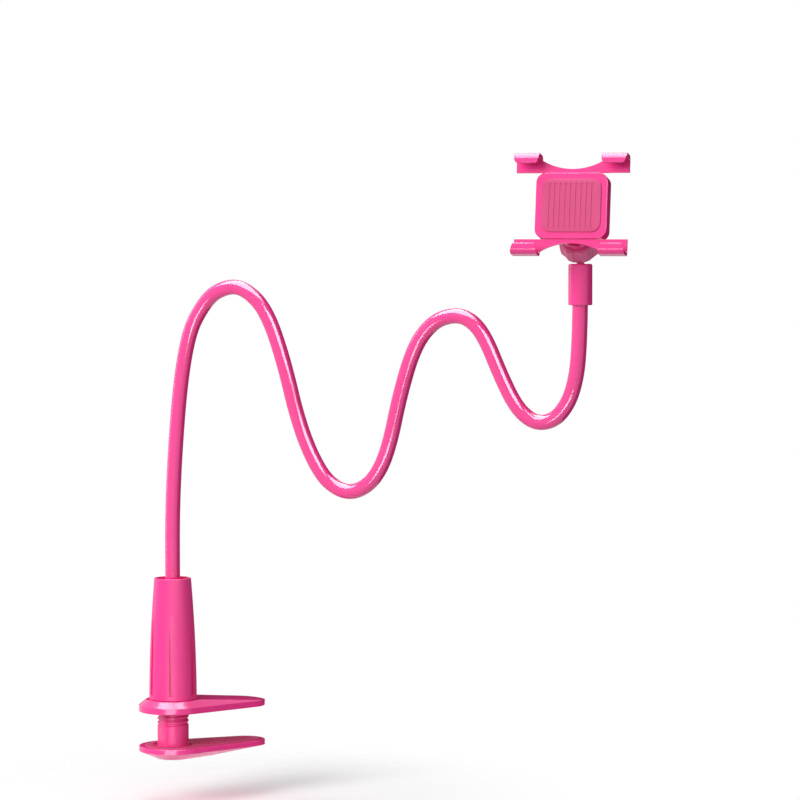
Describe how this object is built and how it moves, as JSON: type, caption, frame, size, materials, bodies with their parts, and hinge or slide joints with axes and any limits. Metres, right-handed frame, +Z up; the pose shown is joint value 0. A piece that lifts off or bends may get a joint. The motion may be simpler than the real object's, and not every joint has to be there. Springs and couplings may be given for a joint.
{
  "type": "gooseneck phone holder",
  "caption": "Pink edge clamp with a fluted turning handle, a long bendable arm in waves and a ball-jointed spring clip with hooked fingers that holds a phone.",
  "frame": {"origin": "on the post's axis, in the plane of the lower pad's gripping face", "axes": "+Z up along the post, +X from the post towards the tips of the jaws, +Y by the right-hand rule"},
  "size_m": [0.2179, 0.3004, 0.4037],
  "materials": {
    "pink_plastic": "glossy hot-pink moulded ABS plastic",
    "pink_sleeve": "glossy hot-pink soft PVC tube",
    "core_alloy": "soft bendable alloy rod, bare",
    "pad_rubber": "matt pink soft rubber",
    "steel": "bright zinc-plated steel"
  },
  "bodies": {
    "base": {"lower_jaw": "pink_plastic", "lower_pad": "pad_rubber", "clamp_post": "pink_plastic", "post_screw": "steel", "arm_bush": "pink_plastic"},
    "top_jaw": {"upper_jaw": "pink_plastic", "upper_pad": "pad_rubber"},
    "handle": {"clamp_handle": "pink_plastic"},
    "arm": {"gooseneck_core": "core_alloy", "gooseneck_sleeve": "pink_sleeve", "neck_collar": "pink_plastic"},
    "ball": {"ball_stud": "pink_plastic"},
    "nut": {"ring_nut": "pink_plastic"},
    "clip": {"clip_body": "pink_plastic", "clip_cover": "pink_plastic", "clip_pad": "pad_rubber", "cover_screws": "steel", "upper_spring": "steel", "lower_spring": "steel"},
    "upper_grip": {"upper_fork": "pink_plastic", "upper_finger_pads": "pad_rubber"},
    "lower_grip": {"lower_fork": "pink_plastic", "lower_finger_pads": "pad_rubber"}
  },
  "joints": [
    {"name": "jaw_slide", "type": "slide", "parent": "base", "child": "top_jaw", "axis": [0, 0, 1], "range_m": [-0.012, 0.028]},
    {"name": "handle_spin", "type": "hinge", "parent": "top_jaw", "child": "handle", "pos_m": [0, 0, 0.0311], "axis": [0, 0, 1], "range_deg": [-1452, 3372]},
    {"name": "arm_bend", "type": "hinge", "parent": "base", "child": "arm", "pos_m": [0.00129, -0.00153, 0.19], "axis": [0.766, 0.6428, 0], "range_deg": [-40, 45], "deforming": ["gooseneck_sleeve", "gooseneck_core"]},
    {"name": "ball_swivel", "type": "hinge", "parent": "arm", "child": "ball", "pos_m": [0.18352, -0.21871, 0.337], "axis": [0, 0, 1], "continuous": true},
    {"name": "ball_tilt", "type": "hinge", "parent": "ball", "child": "nut", "pos_m": [0.18352, -0.21871, 0.337], "axis": [0.7193, -0.6947, 0], "range_deg": [-119, 1]},
    {"name": "clip_roll", "type": "hinge", "parent": "nut", "child": "clip", "pos_m": [0.18352, -0.21871, 0.337], "axis": [-0.5954, -0.6166, 0.515], "continuous": true},
    {"name": "upper_fork_slide", "type": "slide", "parent": "clip", "child": "upper_grip", "axis": [0.1206, 0.1249, 0.9848], "range_m": [0, 0.012], "stiffness_N_per_m": 200, "springref_m": -0.005, "deforming": ["upper_spring"]},
    {"name": "lower_fork_slide", "type": "slide", "parent": "clip", "child": "lower_grip", "axis": [-0.1206, -0.1249, -0.9848], "range_m": [0, 0.012], "stiffness_N_per_m": 200, "springref_m": -0.005, "deforming": ["lower_spring"]}
  ],
  "couplings": [
    {"joint": "handle_spin", "follows": "jaw_slide", "rad_per_m": 2094.4}
  ]
}
